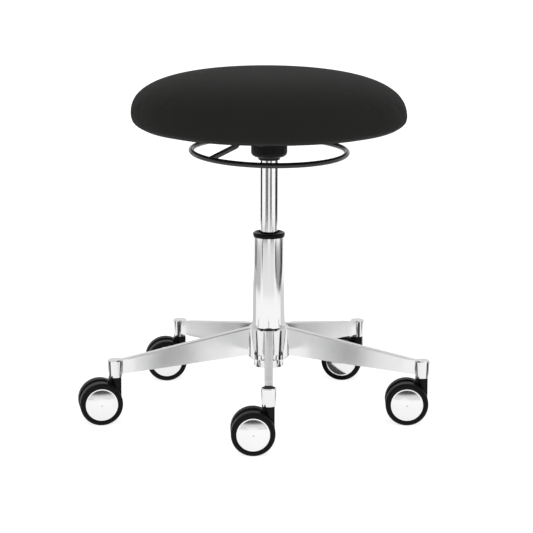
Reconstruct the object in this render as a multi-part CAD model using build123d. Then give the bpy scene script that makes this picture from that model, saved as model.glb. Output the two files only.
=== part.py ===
from build123d import *
import math
import os

# A rolling stool on a five-arm base. Millimetres, +Z up. The origin is on the column's
# axis, at the floor that the ten tyres stand on. One arm points along -Y, the front.

# ---- casters ---------------------------------------------------------------------------
WHEEL_DIA = 68.0
TYRE_WIDTH = 18.0
TYRE_WALL = 6.0
TYRE_SHOULDER = 3.2
WHEEL_GAP = 14.0
CASTER_TRAIL = 24.0
WEB_CLEARANCE = 0.5
WHEEL_RIM_CLEARANCE = 0.8
WEB_INSET = 2.5
NECK_DIA = 18.0
NECK_ABOVE_WHEEL = 4.5
HOUSING_SHOULDER_ANGLE = 72.0
STEM_PIN_DIA = 8.0
STEM_DIA = 11.0
STEM_FLANGE_DIA = 15.0
STEM_FLANGE_THICKNESS = 0.7
STEM_PIN_LENGTH = 19.0
GRIP_GROOVE_DEPTH = 0.8
GRIP_RING_HEIGHT = 3.0
AXLE_DIA = 8.0
AXLE_END_GAP = 1.0
CORE_WALL = 3.0
CORE_HUB_DIA = 18.0
CAP_BELOW_TREAD = 8.5
CAP_RIM = 1.6
CAP_RISE = 3.4
CAP_WALL = 1.2
CASTER_HEADINGS = {"front": 1.8, "right": -1.0, "back_right": -9.3, "back_left": 5.8, "left": 8.9}

# ---- base ------------------------------------------------------------------------------
ARM_AZIMUTHS = {"front": -90.0, "right": -18.0, "back_right": 54.0, "back_left": 126.0, "left": 198.0}
STEM_CIRCLE_RADIUS = 256.0
SOCKET_HEIGHT = 28.0
SOCKET_TOP_DIA = 24.0
SOCKET_BOTTOM_DIA = 21.0
SOCKET_BORE_DEPTH = 24.0
SOCKET_RIM_CHAMFER = 1.6
ARM_TIP_DEPTH = 23.0
ARM_TIP_WIDTH = 11.5
ARM_ROOT_WIDTH = 14.5
ARM_ROOT_DEPTH = 44.0
ARM_ROOT_LAND = 0.3
ARM_EDGE_ROUND = 1.5
ARM_ROOT_FILLET = 13.0
SOCKET_FILLET = 5.0
HUB_ABOVE_SOCKETS = 36.5
HUB_DEPTH = 50.6
HUB_FLARE = 7.0
HUB_STEP = 5.5
HUB_RIM_CHAMFER = 1.5
HUB_FOOT_ROUND = 8.0
SKIRT_WALL = 1.5
SKIRT_HEIGHT = 13.6
SKIRT_NOTCHES = 10
SKIRT_NOTCH_WIDTH = 2.4
SKIRT_NOTCH_DEPTH = 1.2
SKIRT_NOTCH_HEIGHT = 7.0

# ---- column ----------------------------------------------------------------------------
TUBE_DIA = 45.0
TUBE_WALL = 2.0
TUBE_FLOOR = 4.0
TUBE_TAPER_DROP = 1.6
SLEEVE_LENGTH = 147.5
SLEEVE_STAND_OFF = 2.5
SLEEVE_FLARE = 3.0
SLEEVE_WALL = 1.2
SLEEVE_LIP = 2.0
COLLAR_OVERHANG = 0.75
COLLAR_HEIGHT = 7.5
COLLAR_LIP = 3.5
COLLAR_ROUND = 3.0
COLLAR_DISH = 3.0
BUSH_LENGTH = 70.0

# ---- gas spring ------------------------------------------------------------------------
CYLINDER_DIA = 28.0
CYLINDER_WALL = 2.0
CYLINDER_END = 10.0
CYLINDER_TOP_END = 16.0
CYLINDER_TAPER_DROP = 1.4
CYLINDER_SHOWN = 117.3
STROKE_DOWN = 100.0
STROKE_UP = 30.0
STROKE_RESERVE = 5.0
ROD_DIA = 10.0
ROD_TAIL_DIA = 8.0
ROD_TAIL_OVERHANG = 2.0
PISTON_HEIGHT = 14.0
BEARING_DIA = 26.0
BEARING_HEIGHT = 5.0
CLIP_DIA = 14.0
CLIP_THICKNESS = 1.2
CLIP_GROOVE_DEPTH = 1.0
VALVE_PIN_DIA = 6.0
VALVE_PIN_LENGTH = 18.0
VALVE_PIN_SHOWN = 4.4
RUNNING_FIT = 0.05
LOOSE_FIT = 0.3
FACE_GAP = 0.15

# ---- seat mechanism --------------------------------------------------------------------
SOCKET_NECK_WALL = 3.0
SOCKET_NECK_HEIGHT = 5.0
SOCKET_NECK_FLARE = 1.8
COVER_WALL = 10.0
COVER_HEIGHT = 24.0
COVER_FOOT_ROUND = 7.5
COVER_FLOOR = 2.0
TAPER_SOCKET_WALL = 5.0
TAPER_SOCKET_RISE = 4.0
PAN_FLOOR = 3.0
PAN_WALL = 2.5
PAN_INSIDE_HEIGHT = 18.0
PAN_INNER_END = 34.0
PAN_OUTER_END = 48.0
PAN_HALF_WIDTH = 32.0
PLATE_THICKNESS = 4.0
PLATE_WIDTH = 130.0
PLATE_CORNER = 14.0
BOLT_SPACING = 104.0
BOLT_DIA = 6.0
BOLT_HOLE_DIA = 6.6
BOLT_HEAD_DIA = 11.0
BOLT_HEAD_HEIGHT = 3.2
BOLT_HEAD_ROUND = 1.2
BOLT_INTO_BOARD = 9.0

# ---- release ring ----------------------------------------------------------------------
RING_RADIUS = 123.8
RING_ROD_DIA = 8.6
RING_BELOW_SEAT = 40.5
RING_FRONT_DROP = 1.45
RING_RIGHT_DROP = 0.9
LEVER_AZIMUTH = -138.0
LEVER_WIDTH = 10.0
LEVER_THICKNESS = 5.0
LEVER_PIVOT_RADIUS = 28.0
LEVER_NOSE = 8.0
LEVER_GAP = 0.5
LEVER_EYE_DIA = 11.0
LEVER_BEND_RADIUS = 56.0
LEVER_FOOT_RADIUS = 72.0
LEVER_FOOT_RISE = 14.5
LEVER_SLOT_WIDTH = 14.0
PIVOT_PIN_DIA = 6.0
PIVOT_HEAD_DIA = 9.0
PIVOT_HEAD_THICKNESS = 2.0

# ---- seat ------------------------------------------------------------------------------
SEAT_DIA = 440.0
SEAT_CROWN = 73.0
SEAT_CROWN_POWER = 2.68
SEAT_CROWN_POINTS = 9
SEAT_EDGE_RISE = 14.0
SEAT_EDGE_INSET = 15.0
SEAT_EDGE_LIFT = 3.5
SEAT_EDGE_SLOPE = 0.25
BOARD_INSET = 30.0
BOARD_THICKNESS = 12.0

# ---- sizes that follow from the ones above, across the object and then up it ---------------
CAP_RADIUS = WHEEL_DIA / 2 - CAP_BELOW_TREAD
SKIRT_DIA = TUBE_DIA + 2 * SKIRT_WALL
HUB_BOTTOM_DIA = SKIRT_DIA + 2 * HUB_STEP
HUB_TOP_DIA = HUB_BOTTOM_DIA + HUB_FLARE
ARM_FILLET_REACH = HUB_BOTTOM_DIA / 2 + ARM_ROOT_FILLET
ARM_FILLET_SIDE = ARM_ROOT_WIDTH / 2 + ARM_ROOT_FILLET
ARM_ROOT_RADIUS = math.sqrt(ARM_FILLET_REACH ** 2 - ARM_FILLET_SIDE ** 2) + ARM_ROOT_LAND
SLEEVE_TOP_DIA = TUBE_DIA + 2 * SLEEVE_STAND_OFF
SLEEVE_BOTTOM_DIA = SLEEVE_TOP_DIA + SLEEVE_FLARE
COLLAR_DIA = SLEEVE_TOP_DIA + 2 * COLLAR_OVERHANG
SOCKET_NECK_DIA = CYLINDER_DIA + 2 * SOCKET_NECK_WALL
TAPER_SOCKET_DIA = CYLINDER_DIA + 2 * TAPER_SOCKET_WALL
TAPER_TOP_RADIUS = (CYLINDER_DIA - CYLINDER_TAPER_DROP) / 2
COVER_DIA = TAPER_SOCKET_DIA + 2 * COVER_WALL
BOARD_DIA = SEAT_DIA - 2 * BOARD_INSET
SEAT_EDGE_RADIUS = SEAT_DIA / 2 - SEAT_EDGE_INSET
AXLE_Z = WHEEL_DIA / 2
NECK_TOP = WHEEL_DIA + NECK_ABOVE_WHEEL
SOCKET_BOTTOM = NECK_TOP + LOOSE_FIT + STEM_FLANGE_THICKNESS
SOCKET_TOP = SOCKET_BOTTOM + SOCKET_HEIGHT
HUB_TOP = SOCKET_TOP + HUB_ABOVE_SOCKETS
HUB_BOTTOM = HUB_TOP - HUB_DEPTH
SKIRT_BOTTOM = HUB_BOTTOM - SKIRT_HEIGHT
SLEEVE_TOP = HUB_TOP + SLEEVE_LENGTH
COLLAR_TOP = SLEEVE_TOP + COLLAR_HEIGHT
TUBE_BOTTOM = SKIRT_BOTTOM + ROD_TAIL_OVERHANG
BEARING_BOTTOM = TUBE_BOTTOM + TUBE_FLOOR + FACE_GAP
BEARING_TOP = BEARING_BOTTOM + BEARING_HEIGHT
CYLINDER_BOTTOM = BEARING_TOP + STROKE_RESERVE + STROKE_DOWN
PISTON_BOTTOM = CYLINDER_BOTTOM + CYLINDER_END + STROKE_UP + STROKE_RESERVE
NECK_BOTTOM = COLLAR_TOP + CYLINDER_SHOWN
COVER_BOTTOM = NECK_BOTTOM + SOCKET_NECK_HEIGHT
TAPER_BOTTOM = COVER_BOTTOM + COVER_FLOOR
PAN_BOTTOM = COVER_BOTTOM + COVER_HEIGHT
PAN_FLOOR_TOP = PAN_BOTTOM + PAN_FLOOR
CYLINDER_TOP = PAN_FLOOR_TOP + TAPER_SOCKET_RISE
PLATE_BOTTOM = PAN_FLOOR_TOP + PAN_INSIDE_HEIGHT
SEAT_BOTTOM = PLATE_BOTTOM + PLATE_THICKNESS
VALVE_PIN_TOP = CYLINDER_TOP + VALVE_PIN_SHOWN
LEVER_Z = VALVE_PIN_TOP + LEVER_GAP + LEVER_THICKNESS / 2
RING_Z = SEAT_BOTTOM - RING_BELOW_SEAT


# ---- small makers -------------------------------------------------------------------------
SAME_PLACE = 0.01
NEARBY = 1.0


def rod(radius, bottom, top):
    """An upright cylinder on the origin's axis, between two heights."""
    return Pos(0, 0, (bottom + top) / 2) * Cylinder(radius, top - bottom)


def cone(bottom_radius, top_radius, bottom, top):
    """An upright cone frustum on the origin's axis, between two heights."""
    return Pos(0, 0, (bottom + top) / 2) * Cone(bottom_radius, top_radius, top - bottom)


def turned(points):
    """A closed outline of (radius, height) points, turned about the vertical axis."""
    return revolve(Plane.XZ * Polygon(*points, align=None), Axis.Z)


def rim_edges(solid, height, radius):
    """The round edges of a turned solid that lie at one height and radius."""
    circles = solid.edges().filter_by(GeomType.CIRCLE)
    level = [e for e in circles if abs(e.center().Z - height) < SAME_PLACE]
    return [e for e in level if abs(e.radius - radius) < SAME_PLACE]


def cross_rod(radius, start, end, x, z):
    """A cylinder along Y between two depths."""
    return Pos(x, (start + end) / 2, z) * Rot(90, 0, 0) * Cylinder(radius, end - start)


def arm_end(name):
    """Where an arm's caster stem stands, turned to the arm's own direction."""
    azimuth = ARM_AZIMUTHS[name]
    reach = STEM_CIRCLE_RADIUS
    return Pos(reach * math.cos(math.radians(azimuth)), reach * math.sin(math.radians(azimuth)), 0)


# ---- base ---------------------------------------------------------------------------------
def arm_outline():
    """One arm seen from above: a blade that narrows from the hub to the caster socket."""
    root = ARM_ROOT_WIDTH / 2
    tip = ARM_TIP_WIDTH / 2
    return Polygon((0, -root), (STEM_CIRCLE_RADIUS, -tip), (STEM_CIRCLE_RADIUS, tip), (0, root), align=None)


def base_outline():
    """The whole base seen from above, with hollow fillets where the blades leave the round parts."""
    plan = Rot(0, 0, ARM_AZIMUTHS["front"]) * Circle(HUB_BOTTOM_DIA / 2)
    for azimuth in ARM_AZIMUTHS.values():
        blade = arm_outline() + Pos(STEM_CIRCLE_RADIUS, 0, 0) * Circle(SOCKET_BOTTOM_DIA / 2)
        plan += Rot(0, 0, azimuth) * blade
    near_hub = [v for v in plan.vertices() if abs(math.hypot(v.X, v.Y) - HUB_BOTTOM_DIA / 2) < NEARBY]
    plan = fillet(near_hub, ARM_ROOT_FILLET)
    throat = STEM_CIRCLE_RADIUS - SOCKET_BOTTOM_DIA / 2
    far = throat + SOCKET_FILLET - NEARBY
    near_socket = [v for v in plan.vertices() if throat - NEARBY < math.hypot(v.X, v.Y) < far]
    return fillet(near_socket, SOCKET_FILLET)


def base_side():
    """The turned envelope that gives the blades their sloping top and rising underside."""
    tip_radius = STEM_CIRCLE_RADIUS - SOCKET_TOP_DIA / 2
    outside = STEM_CIRCLE_RADIUS + SOCKET_TOP_DIA
    tip_bottom = SOCKET_TOP - ARM_TIP_DEPTH
    outline = [
        (0, HUB_TOP),
        (ARM_ROOT_RADIUS, HUB_TOP),
        (tip_radius, SOCKET_TOP),
        (outside, SOCKET_TOP),
        (outside, tip_bottom),
        (tip_radius, tip_bottom),
        (ARM_ROOT_RADIUS, HUB_TOP - ARM_ROOT_DEPTH),
        (ARM_ROOT_RADIUS - HUB_FOOT_ROUND, HUB_BOTTOM),
        (0, HUB_BOTTOM),
    ]
    return turned(outline)


def blade_top_edges(star):
    """The long edges along the tops of the five blades."""
    long_edges = [e for e in star.edges() if e.length > STEM_CIRCLE_RADIUS / 2]
    return [e for e in long_edges if e.position_at(0.5).Z > SOCKET_TOP]


def hub_body():
    """The hub's own turned shape: a tapered barrel, a rounded foot and a narrower skirt."""
    barrel = cone(HUB_BOTTOM_DIA / 2, HUB_TOP_DIA / 2, HUB_BOTTOM, HUB_TOP)
    barrel = chamfer(rim_edges(barrel, HUB_TOP, HUB_TOP_DIA / 2), HUB_RIM_CHAMFER)
    step = (HUB_BOTTOM_DIA - SKIRT_DIA) / 2
    barrel = chamfer(rim_edges(barrel, HUB_BOTTOM, HUB_BOTTOM_DIA / 2), HUB_FOOT_ROUND, step)
    return barrel + rod(SKIRT_DIA / 2, SKIRT_BOTTOM, HUB_BOTTOM)


def skirt_notches():
    """Short upright cuts round the foot of the skirt."""
    notch = Box(2 * SKIRT_NOTCH_DEPTH, SKIRT_NOTCH_WIDTH, SKIRT_NOTCH_HEIGHT)
    height = SKIRT_BOTTOM + SKIRT_NOTCH_HEIGHT / 2
    spots = PolarLocations(SKIRT_DIA / 2, SKIRT_NOTCHES, start_angle=180 / SKIRT_NOTCHES)
    return [Pos(0, 0, height) * spot * notch for spot in spots]


def caster_socket():
    """The tapered socket at the end of an arm, before its bore."""
    socket = cone(SOCKET_BOTTOM_DIA / 2, SOCKET_TOP_DIA / 2, SOCKET_BOTTOM, SOCKET_TOP)
    return chamfer(rim_edges(socket, SOCKET_TOP, SOCKET_TOP_DIA / 2), SOCKET_RIM_CHAMFER)


def tube_taper():
    """The tapered foot of the stand tube, which the hub's bore matches."""
    bottom_radius = (TUBE_DIA - TUBE_TAPER_DROP) / 2
    return cone(bottom_radius, TUBE_DIA / 2, TUBE_BOTTOM, HUB_TOP)


def base_star():
    """The five-arm casting."""
    height = HUB_TOP - SOCKET_BOTTOM
    blades = Pos(0, 0, SOCKET_BOTTOM) * extrude(base_outline(), height)
    star = blades & base_side()
    star = fillet(blade_top_edges(star), ARM_EDGE_ROUND)
    star += hub_body()
    for name in ARM_AZIMUTHS:
        star += arm_end(name) * caster_socket()
    for name in ARM_AZIMUTHS:
        star -= arm_end(name) * rod(STEM_DIA / 2, SOCKET_BOTTOM, SOCKET_BOTTOM + SOCKET_BORE_DEPTH)
    star -= rod((TUBE_DIA - TUBE_TAPER_DROP) / 2, SKIRT_BOTTOM, TUBE_BOTTOM)
    star -= tube_taper()
    for notch in skirt_notches():
        star -= notch
    return star


# ---- column -------------------------------------------------------------------------------
def outer_tube():
    """The stand tube: a tapered foot in the hub, a floor for the rod, open at the top."""
    tube = tube_taper() + rod(TUBE_DIA / 2, HUB_TOP, SLEEVE_TOP)
    inside = TUBE_DIA / 2 - TUBE_WALL
    foot_inside = inside - TUBE_TAPER_DROP / 2
    tube -= cone(foot_inside, inside, TUBE_BOTTOM + TUBE_FLOOR, HUB_TOP)
    tube -= rod(inside, HUB_TOP, SLEEVE_TOP)
    return tube - rod(ROD_TAIL_DIA / 2 + RUNNING_FIT, TUBE_BOTTOM, TUBE_BOTTOM + TUBE_FLOOR)


def column_sleeve():
    """The tapered cover tube, which hangs on the stand tube by a lip at its top."""
    lip_bottom = SLEEVE_TOP - SLEEVE_LIP
    sleeve = cone(SLEEVE_BOTTOM_DIA / 2, SLEEVE_TOP_DIA / 2, HUB_TOP, SLEEVE_TOP)
    hollow = cone(SLEEVE_BOTTOM_DIA / 2 - SLEEVE_WALL, SLEEVE_TOP_DIA / 2 - SLEEVE_WALL, HUB_TOP, lip_bottom)
    return sleeve - hollow - rod(TUBE_DIA / 2, lip_bottom, SLEEVE_TOP)


def column_collar():
    """The moulded ring on top of the column, with a rounded outside and a dished top."""
    inner = CYLINDER_DIA / 2 + LOOSE_FIT
    outer = COLLAR_DIA / 2
    dish = COLLAR_TOP - COLLAR_DISH
    collar = turned([
        (inner, SLEEVE_TOP),
        (outer, SLEEVE_TOP),
        (outer, COLLAR_TOP),
        (outer - COLLAR_LIP, COLLAR_TOP),
        (inner + COLLAR_LIP, dish),
        (inner, dish),
    ])
    rims = rim_edges(collar, COLLAR_TOP, outer) + rim_edges(collar, SLEEVE_TOP, outer)
    return fillet(rims, COLLAR_ROUND)


def guide_bush():
    """The plastic bush in the top of the stand tube, which the cylinder slides in."""
    bush = rod(TUBE_DIA / 2 - TUBE_WALL, SLEEVE_TOP - BUSH_LENGTH, SLEEVE_TOP)
    return bush - rod(CYLINDER_DIA / 2 + RUNNING_FIT, SLEEVE_TOP - BUSH_LENGTH, SLEEVE_TOP)


# ---- gas spring ---------------------------------------------------------------------------
def piston_rod():
    """The rod: a thin tail through the tube's floor, then the full rod and its piston head."""
    tail = rod(ROD_TAIL_DIA / 2, SKIRT_BOTTOM, BEARING_TOP)
    tail -= clip_ring(CLIP_DIA / 2)
    head_radius = CYLINDER_DIA / 2 - CYLINDER_WALL - RUNNING_FIT
    head = rod(head_radius, PISTON_BOTTOM, PISTON_BOTTOM + PISTON_HEIGHT)
    return tail + clip_core() + rod(ROD_DIA / 2, BEARING_TOP, PISTON_BOTTOM) + head


def clip_ring(radius):
    """The space of the clip, just under the tube's floor."""
    top = TUBE_BOTTOM - FACE_GAP
    return rod(radius, top - CLIP_THICKNESS, top)


def clip_core():
    """What is left of the rod's tail inside the clip's groove."""
    return clip_ring(ROD_TAIL_DIA / 2 - CLIP_GROOVE_DEPTH)


def bottom_clip():
    """The spring clip in the rod's groove under the tube's floor."""
    return clip_ring(CLIP_DIA / 2) - clip_core()


def thrust_bearing():
    """The washer bearing that the rod's shoulder turns on, on the tube's floor."""
    ring = rod(BEARING_DIA / 2, BEARING_BOTTOM, BEARING_TOP)
    return ring - rod(ROD_TAIL_DIA / 2, BEARING_BOTTOM, BEARING_TOP)


def gas_cylinder():
    """The pressure cylinder: plain for its length, with a taper at its top for the socket."""
    shell = rod(CYLINDER_DIA / 2, CYLINDER_BOTTOM, TAPER_BOTTOM)
    shell += cone(CYLINDER_DIA / 2, TAPER_TOP_RADIUS, TAPER_BOTTOM, CYLINDER_TOP)
    chamber_top = CYLINDER_TOP - CYLINDER_TOP_END
    bore = CYLINDER_DIA / 2 - CYLINDER_WALL
    shell -= rod(bore, CYLINDER_BOTTOM + CYLINDER_END, chamber_top)
    shell -= rod(ROD_DIA / 2 + RUNNING_FIT, CYLINDER_BOTTOM, CYLINDER_BOTTOM + CYLINDER_END)
    return shell - rod(VALVE_PIN_DIA / 2 + RUNNING_FIT, chamber_top, CYLINDER_TOP)


def valve_pin():
    """The pin at the top of the cylinder that frees the height when it is pressed."""
    return rod(VALVE_PIN_DIA / 2, VALVE_PIN_TOP - VALVE_PIN_LENGTH, VALVE_PIN_TOP)


# ---- seat mechanism, laid out along the lever's direction as its own +X ---------------------
def seat_mechanism():
    """A pressed pan welded under a square plate, with a round hole in its floor for the socket."""
    pan_length = PAN_INNER_END + PAN_OUTER_END
    middle = (PAN_OUTER_END - PAN_INNER_END) / 2
    height = PLATE_BOTTOM - PAN_BOTTOM
    pan = Pos(middle, 0, PAN_BOTTOM + height / 2) * Box(pan_length, 2 * PAN_HALF_WIDTH, height)
    hollow = Pos(middle, 0, PLATE_BOTTOM - PAN_INSIDE_HEIGHT / 2) * Box(
        pan_length - 2 * PAN_WALL, 2 * (PAN_HALF_WIDTH - PAN_WALL), PAN_INSIDE_HEIGHT)
    plate = Pos(0, 0, PLATE_BOTTOM) * extrude(RectangleRounded(PLATE_WIDTH, PLATE_WIDTH, PLATE_CORNER),
                                              PLATE_THICKNESS)
    body = pan - hollow + plate - rod(TAPER_SOCKET_DIA / 2, PAN_BOTTOM, PAN_FLOOR_TOP)
    slot_bottom = PAN_FLOOR_TOP
    slot_height = PLATE_BOTTOM - slot_bottom
    body -= Pos(PAN_OUTER_END, 0, slot_bottom + slot_height / 2) * Box(
        4 * PAN_WALL, LEVER_SLOT_WIDTH, slot_height)
    body -= cross_rod(PIVOT_PIN_DIA / 2, -PAN_HALF_WIDTH, PAN_HALF_WIDTH, LEVER_PIVOT_RADIUS, LEVER_Z)
    for spot in bolt_spots():
        body -= spot * rod(BOLT_HOLE_DIA / 2, PLATE_BOTTOM, SEAT_BOTTOM)
    return Rot(0, 0, LEVER_AZIMUTH) * body


def taper_socket():
    """The turned socket welded into the pan's floor, with a tapered bore for the cylinder."""
    socket = rod(TAPER_SOCKET_DIA / 2, TAPER_BOTTOM, CYLINDER_TOP)
    return socket - cone(CYLINDER_DIA / 2, TAPER_TOP_RADIUS, TAPER_BOTTOM, CYLINDER_TOP)


def bolt_spots():
    """The four bolt places on the mechanism's plate."""
    return GridLocations(BOLT_SPACING, BOLT_SPACING, 2, 2)


def seat_bolt():
    """A pan-head bolt up through the plate into the seat board."""
    shank = rod(BOLT_DIA / 2, PLATE_BOTTOM, SEAT_BOTTOM + BOLT_INTO_BOARD)
    head = rod(BOLT_HEAD_DIA / 2, PLATE_BOTTOM - BOLT_HEAD_HEIGHT, PLATE_BOTTOM)
    rim = rim_edges(head, PLATE_BOTTOM - BOLT_HEAD_HEIGHT, BOLT_HEAD_DIA / 2)
    return shank + fillet(rim, BOLT_HEAD_ROUND)


def seat_bolts():
    """All four seat bolts."""
    return Compound([Rot(0, 0, LEVER_AZIMUTH) * spot * seat_bolt() for spot in bolt_spots()])


def boss_cover():
    """The stepped moulded cover round the socket, with a narrow neck on the cylinder."""
    cover = rod(COVER_DIA / 2, COVER_BOTTOM, PAN_BOTTOM)
    cover = fillet(rim_edges(cover, COVER_BOTTOM, COVER_DIA / 2), COVER_FOOT_ROUND)
    neck = SOCKET_NECK_DIA / 2
    cover += cone(neck, neck + SOCKET_NECK_FLARE, NECK_BOTTOM, COVER_BOTTOM)
    cover -= rod(CYLINDER_DIA / 2, NECK_BOTTOM, TAPER_BOTTOM)
    return cover - rod(TAPER_SOCKET_DIA / 2, TAPER_BOTTOM, PAN_BOTTOM)


def lever_pivot_pin():
    """The headed pin across the pan that the ring's arm rocks on."""
    half = PAN_HALF_WIDTH + PIVOT_HEAD_THICKNESS
    x = LEVER_PIVOT_RADIUS
    pin = cross_rod(PIVOT_PIN_DIA / 2, -PAN_HALF_WIDTH, PAN_HALF_WIDTH, x, LEVER_Z)
    pin += cross_rod(PIVOT_HEAD_DIA / 2, -half, -PAN_HALF_WIDTH, x, LEVER_Z)
    pin += cross_rod(PIVOT_HEAD_DIA / 2, PAN_HALF_WIDTH, half, x, LEVER_Z)
    return Rot(0, 0, LEVER_AZIMUTH) * pin


# ---- release ring -------------------------------------------------------------------------
def release_ring():
    """The round-bar hoop, which hangs slightly lower at the front and right."""
    hoop = Torus(RING_RADIUS, RING_ROD_DIA / 2)
    return Pos(0, 0, RING_Z) * Rot(RING_FRONT_DROP, RING_RIGHT_DROP, 0) * hoop


def ring_arm():
    """The flat bar from the hoop up into the pan, over its pivot and on to the valve pin."""
    path = Polyline(
        (-LEVER_NOSE, LEVER_Z),
        (LEVER_BEND_RADIUS, LEVER_Z),
        (LEVER_FOOT_RADIUS, RING_Z + LEVER_FOOT_RISE),
        (RING_RADIUS, RING_Z),
    )
    arm = extrude(Plane.XZ * trace(path, LEVER_THICKNESS), LEVER_WIDTH / 2, both=True)
    half = LEVER_WIDTH / 2
    arm += cross_rod(LEVER_EYE_DIA / 2, -half, half, LEVER_PIVOT_RADIUS, LEVER_Z)
    arm -= cross_rod(PIVOT_PIN_DIA / 2 + RUNNING_FIT, -half, half, LEVER_PIVOT_RADIUS, LEVER_Z)
    return Rot(0, 0, LEVER_AZIMUTH) * arm - release_ring()


# ---- seat ---------------------------------------------------------------------------------
def seat_cushion():
    """The domed pad: a superellipse crown, a tight lower edge and a pocket for the board."""
    radius = SEAT_DIA / 2
    widest = SEAT_BOTTOM + SEAT_EDGE_RISE
    power = 2 / SEAT_CROWN_POWER
    crown_points = []
    for step in range(SEAT_CROWN_POINTS):
        turn = math.pi / 2 * step / (SEAT_CROWN_POINTS - 1)
        out = radius * max(math.cos(turn), 0.0) ** power
        rise = SEAT_CROWN * math.sin(turn) ** power
        crown_points.append((out, widest + rise))
    crown_points[-1] = (0, widest + SEAT_CROWN)
    crown = Spline(*crown_points, tangents=[(0, 1), (-1, 0)])
    pocket_radius = BOARD_DIA / 2
    pocket_top = SEAT_BOTTOM + BOARD_THICKNESS
    base_line = Polyline(
        (0, widest + SEAT_CROWN),
        (0, pocket_top),
        (pocket_radius, pocket_top),
        (pocket_radius, SEAT_BOTTOM),
        (SEAT_EDGE_RADIUS, SEAT_BOTTOM + SEAT_EDGE_LIFT),
    )
    edge = Spline((SEAT_EDGE_RADIUS, SEAT_BOTTOM + SEAT_EDGE_LIFT), (radius, widest),
                  tangents=[(1, SEAT_EDGE_SLOPE), (0, 1)])
    outline = make_face([crown, base_line, edge])
    return revolve(Plane.XZ * outline, Axis.Z)


def seat_board():
    """The plywood board in the pad's underside, with holes for the four bolts."""
    board = rod(BOARD_DIA / 2, SEAT_BOTTOM, SEAT_BOTTOM + BOARD_THICKNESS)
    hole = rod(BOLT_DIA / 2, SEAT_BOTTOM, SEAT_BOTTOM + BOLT_INTO_BOARD)
    for spot in bolt_spots():
        board -= Rot(0, 0, LEVER_AZIMUTH) * spot * hole
    return board


# ---- casters, each laid out with its stem on the origin's axis and its wheels towards -X -----
def caster_stem():
    """The steel stem: a wide top in the arm's socket, a flange and a thin pin to swivel on."""
    stem = rod(STEM_DIA / 2, SOCKET_BOTTOM, SOCKET_BOTTOM + SOCKET_BORE_DEPTH)
    stem += rod(STEM_FLANGE_DIA / 2, SOCKET_BOTTOM - STEM_FLANGE_THICKNESS, SOCKET_BOTTOM)
    stem += rod(STEM_PIN_DIA / 2, NECK_TOP - STEM_PIN_LENGTH, SOCKET_BOTTOM)
    return stem - grip_ring()


def grip_ring():
    """The snap ring in a groove near the stem's top that holds it in the socket."""
    top = SOCKET_BOTTOM + SOCKET_BORE_DEPTH - GRIP_RING_HEIGHT
    outside = rod(STEM_DIA / 2, top - GRIP_RING_HEIGHT, top)
    return outside - rod(STEM_DIA / 2 - GRIP_GROOVE_DEPTH, top - GRIP_RING_HEIGHT, top)


def caster_stems():
    """All five stems and their grip rings."""
    pieces = []
    for name in ARM_AZIMUTHS:
        pieces.append(arm_end(name) * caster_stem())
        pieces.append(arm_end(name) * grip_ring())
    return Compound(pieces)


def caster_housing():
    """The moulded body: a round neck under the arm and a web between the two wheels."""
    half_web = WHEEL_GAP / 2 - WEB_CLEARANCE
    disc_radius = WHEEL_DIA / 2 - WEB_INSET
    front = NECK_DIA / 2
    shoulder = math.radians(HOUSING_SHOULDER_ANGLE)
    disc = Pos(-CASTER_TRAIL, AXLE_Z) * Circle(disc_radius)
    wedge = Polygon(
        (-front, NECK_TOP),
        (front, NECK_TOP),
        (front, AXLE_Z + WHEEL_GAP / 2),
        (-CASTER_TRAIL + disc_radius, AXLE_Z),
        (-CASTER_TRAIL, AXLE_Z),
        (-CASTER_TRAIL + disc_radius * math.cos(shoulder), AXLE_Z + disc_radius * math.sin(shoulder)),
        align=None,
    )
    web = extrude(Plane.XZ * (disc + wedge), half_web, both=True)
    body = web + rod(NECK_DIA / 2, AXLE_Z, NECK_TOP)
    wheel_space = WHEEL_DIA / 2 + WHEEL_RIM_CLEARANCE
    body -= cross_rod(wheel_space, half_web, NECK_DIA, -CASTER_TRAIL, AXLE_Z)
    body -= cross_rod(wheel_space, -NECK_DIA, -half_web, -CASTER_TRAIL, AXLE_Z)
    body -= rod(STEM_PIN_DIA / 2 + RUNNING_FIT, NECK_TOP - STEM_PIN_LENGTH - FACE_GAP, NECK_TOP)
    return body - cross_rod(AXLE_DIA / 2, -half_web, half_web, -CASTER_TRAIL, AXLE_Z)


def caster_axle():
    """The steel pin through the web that both wheels turn on."""
    half = WHEEL_GAP / 2 + TYRE_WIDTH - CAP_WALL - CAP_RISE - AXLE_END_GAP
    return cross_rod(AXLE_DIA / 2, -half, half, -CASTER_TRAIL, AXLE_Z)


def wheel_turned(points):
    """A (radius, depth) outline turned about the axle; depth runs out from the wheel's inner face."""
    return Rot(90, 0, 0) * turned(points)


def wheel_core():
    """The moulded wheel: a hub on the axle, an inner disc and a rim under the tyre."""
    rim = WHEEL_DIA / 2 - TYRE_WALL
    bore = AXLE_DIA / 2 + RUNNING_FIT
    seat = TYRE_WIDTH - CAP_WALL
    return wheel_turned([
        (bore, 0),
        (rim, 0),
        (rim, seat),
        (rim - CORE_WALL, seat),
        (rim - CORE_WALL, CORE_WALL),
        (CORE_HUB_DIA / 2, CORE_WALL),
        (CORE_HUB_DIA / 2, seat - CAP_RISE),
        (bore, seat - CAP_RISE),
    ])


def tyre():
    """The soft tyre: a flat tread, a wide chamfered shoulder outside and a narrow one inside."""
    outer = WHEEL_DIA / 2
    inner = outer - TYRE_WALL
    return wheel_turned([
        (inner, 0),
        (outer - TYRE_SHOULDER / 2, 0),
        (outer, TYRE_SHOULDER / 2),
        (outer, TYRE_WIDTH - TYRE_SHOULDER),
        (outer - TYRE_SHOULDER / 2, TYRE_WIDTH - TYRE_SHOULDER / 4),
        (outer - TYRE_SHOULDER, TYRE_WIDTH),
        (inner, TYRE_WIDTH),
    ])


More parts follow.
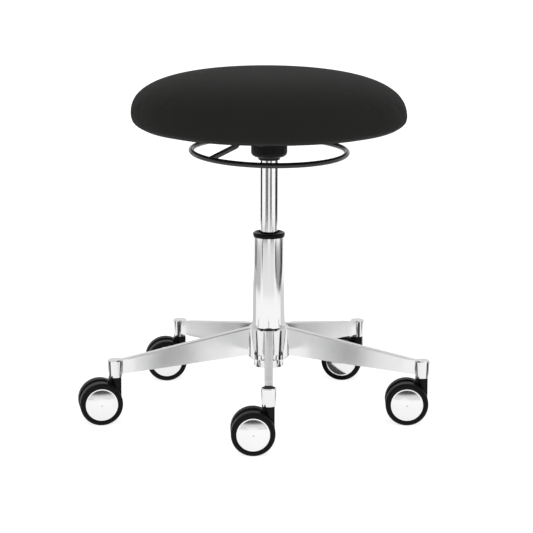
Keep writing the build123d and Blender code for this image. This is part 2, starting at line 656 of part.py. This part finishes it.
def wheel_cap():
    """The domed chrome cap that closes the wheel's outer face."""
    seat = TYRE_WIDTH - CAP_WALL
    dome = CAP_RADIUS - CAP_RIM
    cap = rod(CAP_RADIUS, seat, TYRE_WIDTH)
    sphere_radius = (dome ** 2 + CAP_RISE ** 2) / (2 * CAP_RISE)
    ball = Pos(0, 0, TYRE_WIDTH + CAP_RISE - sphere_radius) * Sphere(sphere_radius)
    cap += ball & rod(dome, TYRE_WIDTH - CAP_WALL / 2, TYRE_WIDTH + 2 * CAP_RISE)
    return Rot(90, 0, 0) * cap


def in_front_wheel(piece):
    """Place a wheel's piece on the axle in front of the web (towards -Y)."""
    return Pos(-CASTER_TRAIL, -WHEEL_GAP / 2, AXLE_Z) * piece


def in_back_wheel(piece):
    """Place a wheel's piece on the axle behind the web (towards +Y)."""
    return Pos(-CASTER_TRAIL, WHEEL_GAP / 2, AXLE_Z) * Rot(0, 0, 180) * piece


def caster_nodes(name):
    """Every node of one caster, in its place and at its own heading."""
    place = arm_end(name) * Rot(0, 0, CASTER_HEADINGS[name])
    nodes = {
        f"caster_{name}_housing": place * caster_housing(),
        f"caster_{name}_axle": place * caster_axle(),
    }
    for wheel, put in (("wheel_1", in_front_wheel), ("wheel_2", in_back_wheel)):
        nodes[f"caster_{name}_{wheel}_core"] = place * put(wheel_core())
        nodes[f"caster_{name}_{wheel}_tyre"] = place * put(tyre())
        nodes[f"caster_{name}_{wheel}_cap"] = place * put(wheel_cap())
    return nodes


# ---- the whole stool ------------------------------------------------------------------------
def stool_nodes():
    """Every node by name."""
    nodes = {
        "base_star": base_star(),
        "caster_stems": caster_stems(),
        "outer_tube": outer_tube(),
        "column_sleeve": column_sleeve(),
        "column_collar": column_collar(),
        "guide_bush": guide_bush(),
        "piston_rod": piston_rod(),
        "thrust_bearing": thrust_bearing(),
        "bottom_clip": bottom_clip(),
        "gas_cylinder": gas_cylinder(),
        "valve_pin": valve_pin(),
        "seat_mechanism": seat_mechanism(),
        "taper_socket": taper_socket(),
        "seat_bolts": seat_bolts(),
        "boss_cover": boss_cover(),
        "lever_pivot_pin": lever_pivot_pin(),
        "release_ring": release_ring(),
        "ring_arm": ring_arm(),
        "seat_board": seat_board(),
        "seat_cushion": seat_cushion(),
    }
    for name in CASTER_HEADINGS:
        nodes.update(caster_nodes(name))
    return nodes


os.makedirs("parts", exist_ok=True)
for node_name, solid in stool_nodes().items():
    export_step(solid, f"parts/{node_name}.step")
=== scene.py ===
import math

import bmesh
import bpy
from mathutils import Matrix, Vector


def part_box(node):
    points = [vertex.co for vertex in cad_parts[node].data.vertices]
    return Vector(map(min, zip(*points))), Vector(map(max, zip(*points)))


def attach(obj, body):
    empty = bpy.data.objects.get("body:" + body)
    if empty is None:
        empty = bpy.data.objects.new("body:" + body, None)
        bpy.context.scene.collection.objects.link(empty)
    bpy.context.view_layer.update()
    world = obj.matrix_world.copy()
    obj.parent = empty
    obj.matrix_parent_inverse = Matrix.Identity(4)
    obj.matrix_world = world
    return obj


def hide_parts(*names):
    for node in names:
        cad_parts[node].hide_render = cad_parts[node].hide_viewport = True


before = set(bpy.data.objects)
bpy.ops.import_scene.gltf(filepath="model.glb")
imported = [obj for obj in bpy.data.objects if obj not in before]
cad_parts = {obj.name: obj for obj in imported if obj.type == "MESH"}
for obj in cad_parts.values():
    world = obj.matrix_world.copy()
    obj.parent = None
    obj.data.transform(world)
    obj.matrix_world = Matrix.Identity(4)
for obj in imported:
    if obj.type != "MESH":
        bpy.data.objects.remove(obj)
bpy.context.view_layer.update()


# ---- five-arm base ---------------------------------------------------------------------------
# One aluminium casting, ground and buffed, with the buffing left in it as a soft waviness. The hub
# and the sockets are mirror bright and the arms between them a little softer.
HUB_REACH = (0.052, 0.075)
SOCKET_REACH = (0.222, 0.236)


class Wire:
    """A shader socket. Arithmetic on it adds Math nodes to the same finish."""

    def __init__(self, finish, socket):
        self.finish = finish
        self.socket = socket

    def math(self, operation, first, second):
        return self.finish.node("ShaderNodeMath", {"operation": operation}, {0: first, 1: second})

    def __add__(self, other):
        return self.math("ADD", self, other)

    def __radd__(self, other):
        return self.math("ADD", other, self)

    def __sub__(self, other):
        return self.math("SUBTRACT", self, other)

    def __rsub__(self, other):
        return self.math("SUBTRACT", other, self)

    def __mul__(self, other):
        return self.math("MULTIPLY", self, other)

    def __rmul__(self, other):
        return self.math("MULTIPLY", other, self)


class Finish:
    """The finish of a surface, or of the studio's surround: its owner and what adds nodes to it."""

    def __init__(self, name, owner=None):
        self.material = owner or bpy.data.materials.new(name)
        self.material.use_nodes = True
        self.tree = self.material.node_tree
        self.tree.nodes.clear()

    def node(self, kind, settings=None, sockets=None, output=0):
        made = self.tree.nodes.new(kind)
        for key, value in (settings or {}).items():
            if key == "stops":
                while len(made.color_ramp.elements) < len(value):
                    made.color_ramp.elements.new(0.5)
                for element, (place, level) in zip(made.color_ramp.elements, value):
                    element.position = place
                    element.color = (level, level, level, 1)
            else:
                setattr(made, key, value)
        for key, value in (sockets or {}).items():
            if isinstance(value, Wire):
                self.tree.links.new(value.socket, made.inputs[key])
            else:
                made.inputs[key].default_value = value
        return Wire(self, made.outputs[output])

    def place(self, scale=(1, 1, 1)):
        """Object coordinates in metres, stretched by a scale on each axis."""
        spot = self.node("ShaderNodeTexCoord", output=3)
        return self.node("ShaderNodeMapping", {}, {"Vector": spot, "Scale": scale})

    def noise(self, scale, detail=3.0, stretch=(1, 1, 1), roughness=0.5):
        settings = {"Vector": self.place(stretch), "Scale": scale, "Detail": detail, "Roughness": roughness}
        return self.node("ShaderNodeTexNoise", {}, settings)

    def blend(self, factor, dark, light):
        """A colour between two, by a factor."""
        sockets = {0: factor, 6: (*dark, 1), 7: (*light, 1)}
        return self.node("ShaderNodeMix", {"data_type": "RGBA"}, sockets, output=2)

    def ramp(self, value, low, high):
        """0 up to low and 1 from high on."""
        return self.node("ShaderNodeMapRange", {}, {"Value": value, "From Min": low, "From Max": high})

    def bump(self, height, strength, distance):
        sockets = {"Height": height, "Strength": strength, "Distance": distance}
        return self.node("ShaderNodeBump", {}, sockets)

    def surface(self, **sockets):
        named = {}
        for key, value in sockets.items():
            named[key.replace("_", " ").title().replace("Ior", "IOR")] = value
        shader = self.node("ShaderNodeBsdfPrincipled", {}, named)
        end = self.tree.nodes.new("ShaderNodeOutputMaterial")
        self.tree.links.new(shader.socket, end.inputs["Surface"])
        return self.material


def polished_aluminium():
    finish = Finish("polished_aluminium")
    cloud = finish.noise(9.0, 4.0)
    buffing = finish.noise(160.0, 2.0, (1, 1, 6))
    pits = finish.noise(900.0, 1.0)
    flat = finish.place((1, 1, 0))
    reach = finish.node("ShaderNodeVectorMath", {"operation": "LENGTH"}, {0: flat}, output=1)
    flank = finish.ramp(reach, *HUB_REACH)
    socket = finish.ramp(reach, *SOCKET_REACH)
    tone = finish.blend(cloud, (0.67, 0.67, 0.675), (0.77, 0.77, 0.775))
    relief = finish.bump(cloud * 0.7 + buffing * 0.3, 0.06, 0.0012)
    polish = 0.05 + cloud * 0.05 + pits * 0.02 + (flank - socket) * 0.17
    return finish.surface(base_color=tone, metallic=1.0, roughness=polish, normal=relief)


def dress(names, material):
    """Give CAD nodes their finish."""
    for name in names:
        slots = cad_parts[name].data.materials
        slots.clear()
        slots.append(material)


dress(["base_star"], polished_aluminium())


# ---- column: stand tube, cover sleeve, collar and bush ------------------------------------------
# A steel stand tube with a tapered foot sits in the hub. A chromed sleeve covers it, and a black
# gloss moulding closes the top round the cylinder, over a plain nylon guide bush.
def chrome(name, tone_low, tone_high, roughness):
    finish = Finish(name)
    haze = finish.noise(24.0, 3.0, (1, 1, 0.4))
    wipe = finish.noise(320.0, 2.0, (1, 1, 0.08))
    tone = finish.blend(haze, tone_low, tone_high)
    return finish.surface(base_color=tone, metallic=1.0, roughness=roughness + haze * 0.03 + wipe * 0.015)


def moulded_plastic(name, colour, roughness, grain, grain_depth, specular):
    finish = Finish(name)
    sweep = finish.noise(14.0, 3.0)
    texture = finish.noise(grain, 2.0)
    lighter = tuple(1.35 * channel for channel in colour)
    tone = finish.blend(sweep, colour, lighter)
    relief = finish.bump(texture, 0.25, grain_depth)
    return finish.surface(base_color=tone, roughness=roughness + texture * 0.08, normal=relief,
                          specular_ior_level=specular)


def plain_steel(name, low, high, roughness):
    finish = Finish(name)
    rings = finish.noise(700.0, 2.0, (0.1, 0.1, 1))
    stain = finish.noise(30.0, 3.0)
    tone = finish.blend(stain, low, high)
    relief = finish.bump(rings, 0.12, 0.00008)
    return finish.surface(base_color=tone, metallic=1.0, roughness=roughness + rings * 0.1, normal=relief)


dress(["column_sleeve"], chrome("sleeve_chrome", (0.72, 0.72, 0.73), (0.78, 0.78, 0.785), 0.06))
dress(["outer_tube"], plain_steel("dark_tube_steel", (0.10, 0.10, 0.11), (0.20, 0.20, 0.21), 0.35))
gloss_black = moulded_plastic("gloss_black_plastic", (0.0020, 0.0020, 0.0022), 0.08, 900.0, 0.00003, 0.10)
dress(["column_collar"], gloss_black)
dress(["guide_bush"], moulded_plastic("natural_nylon", (0.62, 0.61, 0.57), 0.45, 1400.0, 0.00005, 0.4))


# ---- gas spring ----------------------------------------------------------------------------------
# A ground and chromed cylinder that slides in the column, with its rod, bearing and clip
# inside it in plain turned steel.
dress(["gas_cylinder"], plain_steel("ground_cylinder_steel", (0.74, 0.74, 0.75), (0.82, 0.82, 0.83), 0.04))
turned_steel = plain_steel("turned_steel", (0.48, 0.48, 0.50), (0.66, 0.66, 0.68), 0.25)
dress(["piston_rod", "thrust_bearing", "bottom_clip", "valve_pin", "lever_pivot_pin", "seat_bolts",
       "caster_stems"], turned_steel)


# ---- seat mechanism and its cover -------------------------------------------------------------------
# A pressed steel pan and plate in black powder coat. A stepped black moulding hides its socket.
def powder_coat(name, colour, roughness, peel):
    finish = Finish(name)
    orange_peel = finish.noise(peel, 2.0)
    dust = finish.noise(40.0, 4.0)
    lighter = tuple(1.8 * channel for channel in colour)
    tone = finish.blend(dust, colour, lighter)
    relief = finish.bump(orange_peel, 0.3, 0.00012)
    return finish.surface(base_color=tone, roughness=roughness + dust * 0.08, normal=relief,
                          specular_ior_level=0.5)


black_powder = powder_coat("black_powder_coat", (0.010, 0.010, 0.0105), 0.30, 520.0)
dress(["seat_mechanism", "taper_socket"], black_powder)
satin_black = moulded_plastic("satin_black_plastic", (0.0026, 0.0026, 0.0028), 0.32, 1500.0, 0.00006, 0.13)
dress(["boss_cover"], satin_black)


# ---- release ring and its arm ------------------------------------------------------------------------
# A hoop of round steel bar and a bent flat bar welded to it, coated black as one piece.
ring_coat = powder_coat("ring_black_coat", (0.004, 0.004, 0.0043), 0.14, 380.0)
dress(["release_ring", "ring_arm"], ring_coat)


# ---- seat board ------------------------------------------------------------------------------------
# Birch plywood, dyed black on its underside, bolted to the mechanism.
def dyed_plywood():
    finish = Finish("dyed_plywood")
    grain = finish.noise(90.0, 5.0, (0.06, 1, 1))
    blotch = finish.noise(8.0, 3.0)
    tone = finish.blend(grain * 0.6 + blotch * 0.4, (0.010, 0.010, 0.010), (0.045, 0.042, 0.038))
    relief = finish.bump(grain, 0.3, 0.0003)
    return finish.surface(base_color=tone, roughness=0.55 + grain * 0.2, normal=relief,
                          specular_ior_level=0.3)


dress(["seat_board"], dyed_plywood())


# ---- seat pad ----------------------------------------------------------------------------------------
# Moulded foam under black coated fabric, pulled down over the board's edge and folded under it.
# The cover is drawn tight by pressure in a cloth run, then brought back to its drawn size.
PAD_STEPS = 160
PAD_EDGE_STEPS = 8
PAD_CROWN_STEPS = 40
PAD_VOXEL = 0.005
PAD_FRAMES = 20
PAD_CAP = 0.003
PAD_RADIUS = 0.2193
PAD_EDGE_HEIGHT = 0.0133
PAD_EDGE_INSET = 0.0185
PAD_SIDE_POWER = 2.88
PAD_CROWN_POWER = 2.52
PAD_LEAN = -0.07
FOLD_RADIUS = 0.168
FOLD_PROUD = 0.0016
BOARD_BITE = 0.008
pad_low, pad_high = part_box("seat_cushion")


def lathe(name, outline, steps):
    """Turn an (x, z) outline about the vertical axis into a mesh object."""
    mesh = bpy.data.meshes.new(name)
    shell = bmesh.new()
    rings = []
    for radius, height in outline:
        if radius == 0:
            rings.append([shell.verts.new((0, 0, height))])
            continue
        ring = []
        for step in range(steps):
            turn = 2 * math.pi * step / steps
            ring.append(shell.verts.new((radius * math.cos(turn), radius * math.sin(turn), height)))
        rings.append(ring)
    for lower, upper in zip(rings, rings[1:]):
        for step in range(steps):
            after = (step + 1) % steps
            if len(lower) == 1:
                shell.faces.new((lower[0], upper[after], upper[step]))
            elif len(upper) == 1:
                shell.faces.new((lower[step], lower[after], upper[0]))
            else:
                shell.faces.new((lower[step], lower[after], upper[after], upper[step]))
    bmesh.ops.recalc_face_normals(shell, faces=shell.faces)
    shell.to_mesh(mesh)
    shell.free()
    for face in mesh.polygons:
        face.use_smooth = True
    made = bpy.data.objects.new(name, mesh)
    bpy.context.scene.collection.objects.link(made)
    return made


def pad_outline():
    """The pad's half section: flat underside, tight lower edge and crown."""
    foot = PAD_RADIUS - PAD_EDGE_INSET
    widest = pad_low.z + PAD_EDGE_HEIGHT
    crown = pad_high.z - widest
    inside = pad_low.z + BOARD_BITE
    fold = pad_low.z - FOLD_PROUD
    outline = [(0, inside), (FOLD_RADIUS / 2, inside), (FOLD_RADIUS, inside), (FOLD_RADIUS, fold)]
    for step in range(PAD_EDGE_STEPS + 1):
        turn = math.pi / 2 * step / PAD_EDGE_STEPS
        outline.append((foot + PAD_EDGE_INSET * math.sin(turn), widest - (widest - fold) * math.cos(turn)))
    for step in range(1, PAD_CROWN_STEPS):
        turn = math.pi / 2 * step / PAD_CROWN_STEPS
        out = PAD_RADIUS * math.cos(turn) ** (2 / PAD_SIDE_POWER)
        rise = crown * math.sin(turn) ** (2 / PAD_CROWN_POWER)
        outline.append((out, widest + rise))
    outline.append((0, pad_high.z))
    return outline


pad = lathe("seat_pad", pad_outline(), PAD_STEPS)


def apply_modifiers(piece):
    """Turn a piece with its modifiers into a plain mesh."""
    shown = piece.evaluated_get(bpy.context.evaluated_depsgraph_get())
    finished = bpy.data.meshes.new_from_object(shown)
    piece.modifiers.clear()
    piece.data = finished


def inflate(piece):
    """Swell the cover under pressure, held where it is folded under the board."""
    remesh = piece.modifiers.new("even_faces", "REMESH")
    remesh.mode = "VOXEL"
    remesh.voxel_size = PAD_VOXEL
    remesh.use_smooth_shade = True
    apply_modifiers(piece)
    start = [vertex.co.copy() for vertex in piece.data.vertices]
    held = piece.vertex_groups.new(name="stapled")
    foot = PAD_RADIUS - PAD_EDGE_INSET
    widest = pad_low.z + PAD_EDGE_HEIGHT
    under = [index for index, spot in enumerate(start) if spot.z < widest and spot.xy.length < foot]
    held.add(under, 1.0, "REPLACE")
    cloth = piece.modifiers.new("pressure", "CLOTH")
    cloth.settings.quality = 5
    cloth.settings.mass = 0.3
    cloth.settings.tension_stiffness = 25
    cloth.settings.compression_stiffness = 25
    cloth.settings.shear_stiffness = 10
    cloth.settings.bending_stiffness = 1.5
    cloth.settings.use_pressure = True
    cloth.settings.uniform_pressure_force = 4
    cloth.settings.effector_weights.gravity = 0
    cloth.settings.vertex_group_mass = "stapled"
    scene = bpy.context.scene
    for frame_number in range(1, PAD_FRAMES + 1):
        scene.frame_set(frame_number)
    apply_modifiers(piece)
    scene.frame_set(1)
    for vertex, home in zip(piece.data.vertices, start):
        move = vertex.co - home
        if move.length > PAD_CAP:
            vertex.co = home + move.normalized() * PAD_CAP


def settle(piece):
    """Bring the cover back to its drawn width and height, leaning a little as it does on the stool."""
    spots = [vertex.co for vertex in piece.data.vertices]
    spread = PAD_RADIUS / max(math.hypot(spot.x, spot.y) for spot in spots)
    rise = (pad_high.z - pad_low.z) / (max(spot.z for spot in spots) - pad_low.z)
    for spot in spots:
        height = (spot.z - pad_low.z) * rise
        spot.x = spot.x * spread + PAD_LEAN * (height - PAD_EDGE_HEIGHT)
        spot.y = spot.y * spread
        spot.z = pad_low.z + height


inflate(pad)
settle(pad)


def coated_fabric():
    finish = Finish("black_coated_fabric")
    spot = finish.place()
    edges = {"feature": "DISTANCE_TO_EDGE"}
    cells = finish.node("ShaderNodeTexVoronoi", edges, {"Vector": spot, "Scale": 620.0})
    crease = finish.node("ShaderNodeValToRGB", {"stops": [(0.0, 0.0), (0.09, 1.0)]}, {"Fac": cells})
    broad = finish.noise(7.0, 4.0)
    fine = finish.noise(1800.0, 2.0)
    tone = finish.blend(broad, (0.0120, 0.0120, 0.0113), (0.0148, 0.0148, 0.0140))
    relief = finish.bump(crease * 0.8 + fine * 0.2, 0.35, 0.00018)
    return finish.surface(base_color=tone, roughness=0.66 + broad * 0.10 - crease * 0.05, normal=relief,
                          specular_ior_level=0.05)


pad.data.materials.clear()
pad.data.materials.append(coated_fabric())
subdivide = pad.modifiers.new("smooth", "SUBSURF")
subdivide.levels = 1
subdivide.render_levels = 1
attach(pad, "seat")
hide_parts("seat_cushion")


# ---- cover staples -------------------------------------------------------------------------------------
# The fabric is turned under the board and stapled all round, so a ring of flat wire crowns lies on
# the underside. They are spaced evenly and driven a little out of line by hand.
STAPLE_SEED = 7
STAPLE_SKEW = 0.16
STAPLE_RING = {
    "Count": 46,
    "Radius": 0.1765,
    "Height": pad_low.z - FOLD_PROUD,
    "Crown": 0.0105,
    "Wire": 0.0011,
}


def link(tree, source, output, target, socket):
    """Join an output of one node to an input of another."""
    tree.links.new(source.outputs[output], target.inputs[socket])


def staple_tree(material):
    """Crowns of wire round a circle, each turned by its own angle and a small random one."""
    tree = bpy.data.node_groups.new("staple_ring", "GeometryNodeTree")
    for name, value in STAPLE_RING.items():
        kind = "NodeSocketInt" if name == "Count" else "NodeSocketFloat"
        tree.interface.new_socket(name, in_out="INPUT", socket_type=kind)
    tree.interface.new_socket("Geometry", in_out="OUTPUT", socket_type="NodeSocketGeometry")
    given = tree.nodes.new("NodeGroupInput")
    circle = tree.nodes.new("GeometryNodeMeshCircle")
    link(tree, given, "Count", circle, "Vertices")
    link(tree, given, "Radius", circle, "Radius")
    lift = tree.nodes.new("ShaderNodeCombineXYZ")
    link(tree, given, "Height", lift, "Z")
    raised = tree.nodes.new("GeometryNodeTransform")
    link(tree, circle, "Mesh", raised, "Geometry")
    link(tree, lift, "Vector", raised, "Translation")
    size = tree.nodes.new("ShaderNodeCombineXYZ")
    link(tree, given, "Wire", size, "X")
    link(tree, given, "Crown", size, "Y")
    link(tree, given, "Wire", size, "Z")
    crown = tree.nodes.new("GeometryNodeMeshCube")
    link(tree, size, "Vector", crown, "Size")
    order = tree.nodes.new("GeometryNodeInputIndex")
    share = tree.nodes.new("ShaderNodeMath")
    share.operation = "DIVIDE"
    link(tree, order, "Index", share, 0)
    link(tree, given, "Count", share, 1)
    wobble = tree.nodes.new("FunctionNodeRandomValue")
    wobble.data_type = "FLOAT"
    wobble.inputs[2].default_value = -STAPLE_SKEW
    wobble.inputs[3].default_value = STAPLE_SKEW
    wobble.inputs["Seed"].default_value = STAPLE_SEED
    heading = tree.nodes.new("ShaderNodeMath")
    heading.operation = "MULTIPLY_ADD"
    heading.inputs[1].default_value = 2 * math.pi
    link(tree, share, 0, heading, 0)
    link(tree, wobble, 1, heading, 2)
    turn = tree.nodes.new("ShaderNodeCombineXYZ")
    link(tree, heading, 0, turn, "Z")
    spin = tree.nodes.new("FunctionNodeEulerToRotation")
    link(tree, turn, "Vector", spin, 0)
    placed = tree.nodes.new("GeometryNodeInstanceOnPoints")
    link(tree, raised, "Geometry", placed, "Points")
    link(tree, crown, "Mesh", placed, "Instance")
    link(tree, spin, 0, placed, "Rotation")
    solid = tree.nodes.new("GeometryNodeRealizeInstances")
    link(tree, placed, "Instances", solid, "Geometry")
    painted = tree.nodes.new("GeometryNodeSetMaterial")
    painted.inputs["Material"].default_value = material
    link(tree, solid, "Geometry", painted, "Geometry")
    result = tree.nodes.new("NodeGroupOutput")
    link(tree, painted, "Geometry", result, "Geometry")
    return tree


staples = bpy.data.objects.new("cover_staples", bpy.data.meshes.new("cover_staples"))
bpy.context.scene.collection.objects.link(staples)
ring_of_staples = staples.modifiers.new("ring", "NODES")
staple_wire = plain_steel("staple_wire", (0.50, 0.50, 0.51), (0.70, 0.70, 0.71), 0.3)
ring_of_staples.node_group = staple_tree(staple_wire)
for item in ring_of_staples.node_group.interface.items_tree:
    if item.in_out == "INPUT":
        ring_of_staples[item.identifier] = STAPLE_RING[item.name]
apply_modifiers(staples)
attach(staples, "seat")


# ---- casters ------------------------------------------------------------------------------------------
# Each has a moulded housing with a web between two wheels on one axle. A wheel is a moulded core,
# a soft tyre moulded round it and a pressed chrome cap in its outer face.
CASTERS = ("front", "right", "back_right", "back_left", "left")
WHEELS = ("wheel_1", "wheel_2")

tyre_finish = moulded_plastic("soft_tyre", (0.0016, 0.0016, 0.0017), 0.42, 1100.0, 0.00008, 0.12)
cap_chrome = chrome("cap_chrome", (0.74, 0.74, 0.745), (0.82, 0.82, 0.825), 0.12)
for caster in CASTERS:
    dress([f"caster_{caster}_housing"], satin_black)
    dress([f"caster_{caster}_axle"], turned_steel)
    for wheel in WHEELS:
        dress([f"caster_{caster}_{wheel}_core"], satin_black)
        dress([f"caster_{caster}_{wheel}_tyre"], tyre_finish)
        dress([f"caster_{caster}_{wheel}_cap"], cap_chrome)


# ---- studio ---------------------------------------------------------------------------------------------
# A plain pale floor, a white surround and two soft lights. Only reflections see the rest: grey
# cards lying on the floor, and a surround with a dark band in front and a pale backdrop behind.
# Some of the dark cards are painted shadow: a disc under the hub and patches under the stool,
# inward of the front, left and right casters, stand in for the stool's shadow on the floor.
FLAG_HEIGHT = 0.002
FLAG_STEPS = 8
CASTER_CIRCLE = 0.256
FRONT_REACH = (0.98, 1.60)
SIDE_REACH = (0.62, 1.04)
FAR_REACH = (1.61, 3.0)
BACK_REACH = (3.2, 28)
# painted shadow: the reach of a dark disc under the hub that stands in for the stool's shadow in
# reflections
HUB_SHADOW_REACH = (0.02, 0.13)
SLOT_REACH = (0.47, 0.61)
# painted shadow: the outline of dark patches under the stool, measured from each socket, that stand in for
# its shadow in reflections
SOCKET_SHADOW_FLAG = ((124, 0.28), (124, 0.46), (146, 0.46), (146, 0.28))


def flat_card(name, corners):
    mesh = bpy.data.meshes.new(name)
    mesh.from_pydata(corners, [], [tuple(range(len(corners)))])
    card = bpy.data.objects.new(name, mesh)
    bpy.context.scene.collection.objects.link(card)
    return card


floor = flat_card("floor", [(-30, -30, 0), (30, -30, 0), (30, 30, 0), (-30, 30, 0)])
floor_paint = Finish("floor_paint")
floor.data.materials.append(floor_paint.surface(base_color=(0.40, 0.40, 0.40, 1), roughness=0.8,
                                                specular_ior_level=0.0, emission_color=(1, 1, 1, 1),
                                                emission_strength=0.80))


def floor_flag(name, level, outline):
    """A grey card just off the floor, its outline given as (heading, distance) pairs, with
    headings in degrees from the front, seen from above as turning towards the right."""
    points = []
    for heading, distance in outline:
        turn = math.radians(heading)
        points.append((distance * math.sin(turn), -distance * math.cos(turn), FLAG_HEIGHT))
    card = flat_card(name, points)
    cloth = Finish(name + "_cloth")
    card.data.materials.append(cloth.surface(base_color=(0, 0, 0, 1), specular_ior_level=0.0,
                                             emission_color=(level, level, level, 1),
                                             emission_strength=1.0))
    card.visible_camera = False
    card.visible_diffuse = False
    card.visible_shadow = False


def sector(start, end, near, far):
    """The outline of part of a ring on the floor."""
    span = (end - start) / FLAG_STEPS
    inner = [(start + span * step, near) for step in range(FLAG_STEPS + 1)]
    outer = [(end - span * step, far) for step in range(FLAG_STEPS + 1)]
    return inner + outer


floor_flag("flag_front", 1.00, sector(-44, 40, *FRONT_REACH))
floor_flag("flag_left_side", 0.72, sector(-152, -102, *SIDE_REACH))
floor_flag("flag_right_side", 0.84, sector(92, 140, *SIDE_REACH))
floor_flag("flag_left_grey", 0.58,
           [(-58, 1.05), (-60, 1.21), (-96, 1.21), (-132, 1.21), (-132, 1.04), (-96, 1.04)])
floor_flag("flag_left_dark", 0.26, [(-98, 1.21), (-96, 1.60), (-124, 1.60), (-124, 1.21)])
floor_flag("flag_left_mid", 0.62, [(-60, 1.21), (-60, 1.60), (-96, 1.60), (-98, 1.21)])
floor_flag("flag_left_line", 0.03, [(-50, 1.12), (-44, 1.60), (-56, 1.60)])
floor_flag("flag_right_wedge", 0.46, [(70, 1.06), (54, 1.28), (54, 1.60), (94, 1.60), (92, 1.28)])
floor_flag("flag_right_line", 0.04,
           [(69, 1.01), (70, 1.09), (56, 1.28), (54, 1.60), (44, 1.60), (46, 1.23), (62, 1.06)])
floor_flag("flag_right_edge", 0.06,
           [(71, 1.01), (116, 1.23), (122, 1.60), (94, 1.60), (92, 1.27), (72, 1.08)])
floor_flag("flag_far_front_left", 0.20, sector(-48, -9, *FAR_REACH))
floor_flag("flag_far_front_right", 0.24, sector(10, 38, *FAR_REACH))
floor_flag("flag_far_left", 0.05, sector(-150, -102, *FAR_REACH))
floor_flag("flag_far_right", 0.05, sector(88, 150, *FAR_REACH))
floor_flag("flag_far_back", 0.06, sector(140, 220, *BACK_REACH))
# painted shadow: a dark disc under the hub, seen only in reflections, stands in for the stool's shadow on
# the floor
floor_flag("flag_under_hub", 0.12, sector(-180, 180, *HUB_SHADOW_REACH))
floor_flag("flag_left_slot", 0.02, sector(-93, -73, *SLOT_REACH))
floor_flag("flag_right_slot", 0.02, sector(73, 93, *SLOT_REACH))
# painted shadow: dark patches under the stool, inward of the front, left and right casters, seen only in
# reflections, stand in for the stool's shadow on the floor
for stand in (-72, 0, 72):
    for side in (-1, 1):
        across = CASTER_CIRCLE * math.sin(math.radians(stand))
        forward = CASTER_CIRCLE * math.cos(math.radians(stand))
        outline = []
        for turn, reach in SOCKET_SHADOW_FLAG:
            right = across + reach * math.sin(math.radians(side * turn))
            front = forward + reach * math.cos(math.radians(side * turn))
            outline.append((math.degrees(math.atan2(right, front)), math.hypot(right, front)))
        floor_flag(f"flag_socket_{stand}_{side}", 0.06, outline)

WHITE = (1, 1, 1, 1)
ROOM_LEVELS = [(0.0, 0.95), (0.12, 0.85), (0.165, 0.03), (0.33, 0.05), (0.44, 0.9)]
BACKDROP = (0.85, 0.85, 0.85, 1)
world = bpy.data.worlds.new("studio")
bpy.context.scene.world = world
surround = Finish("surround", world)
direction = surround.node("ShaderNodeTexCoord")
skyward = surround.node("ShaderNodeSeparateXYZ", {}, {0: direction}, output=2)
rearward = surround.node("ShaderNodeSeparateXYZ", {}, {0: direction}, output=1)
dark_room = surround.node("ShaderNodeValToRGB", {"stops": ROOM_LEVELS}, {"Fac": skyward})
behind = surround.ramp(rearward, -0.35, 0.10)
blend = {"data_type": "RGBA"}
canopy = surround.node("ShaderNodeMix", blend, {0: behind, 6: dark_room, 7: BACKDROP}, output=2)
mirrored = surround.node("ShaderNodeLightPath", output=3)
seen = surround.node("ShaderNodeMix", blend, {0: mirrored, 6: WHITE, 7: canopy}, output=2)
glow = surround.node("ShaderNodeBackground", {}, {"Color": seen})
end = surround.tree.nodes.new("ShaderNodeOutputWorld")
surround.tree.links.new(glow.socket, end.inputs["Surface"])


def soft_light(name, place, target, size, power):
    lamp = bpy.data.lights.new(name, "AREA")
    lamp.shape = "SQUARE"
    lamp.size = size
    lamp.energy = power
    made = bpy.data.objects.new(name, lamp)
    bpy.context.scene.collection.objects.link(made)
    made.location = place
    made.rotation_euler = (Vector(target) - Vector(place)).to_track_quat("-Z", "Y").to_euler()


soft_light("key_light", (-1.8, -2.2, 2.8), (0, 0, 0.3), 2.0, 12)
soft_light("fill_light", (2.4, -1.0, 2.4), (0, 0, 0.3), 2.0, 8)

lens = bpy.data.cameras.new("camera")
lens.sensor_width = 36
lens.lens = 167.9
lens.clip_end = 100
camera = bpy.data.objects.new("camera", lens)
camera.location = (-0.0038, -3.910, 1.047)
tilt = math.radians(78.283)
roll = math.radians(0.14)
camera.rotation_euler = (tilt, -roll * math.sin(tilt), roll * math.cos(tilt))
bpy.context.scene.collection.objects.link(camera)
bpy.context.scene.camera = camera
bpy.context.scene.view_settings.view_transform = "Standard"


def corners(box):
    return [list(corner) for corner in box]
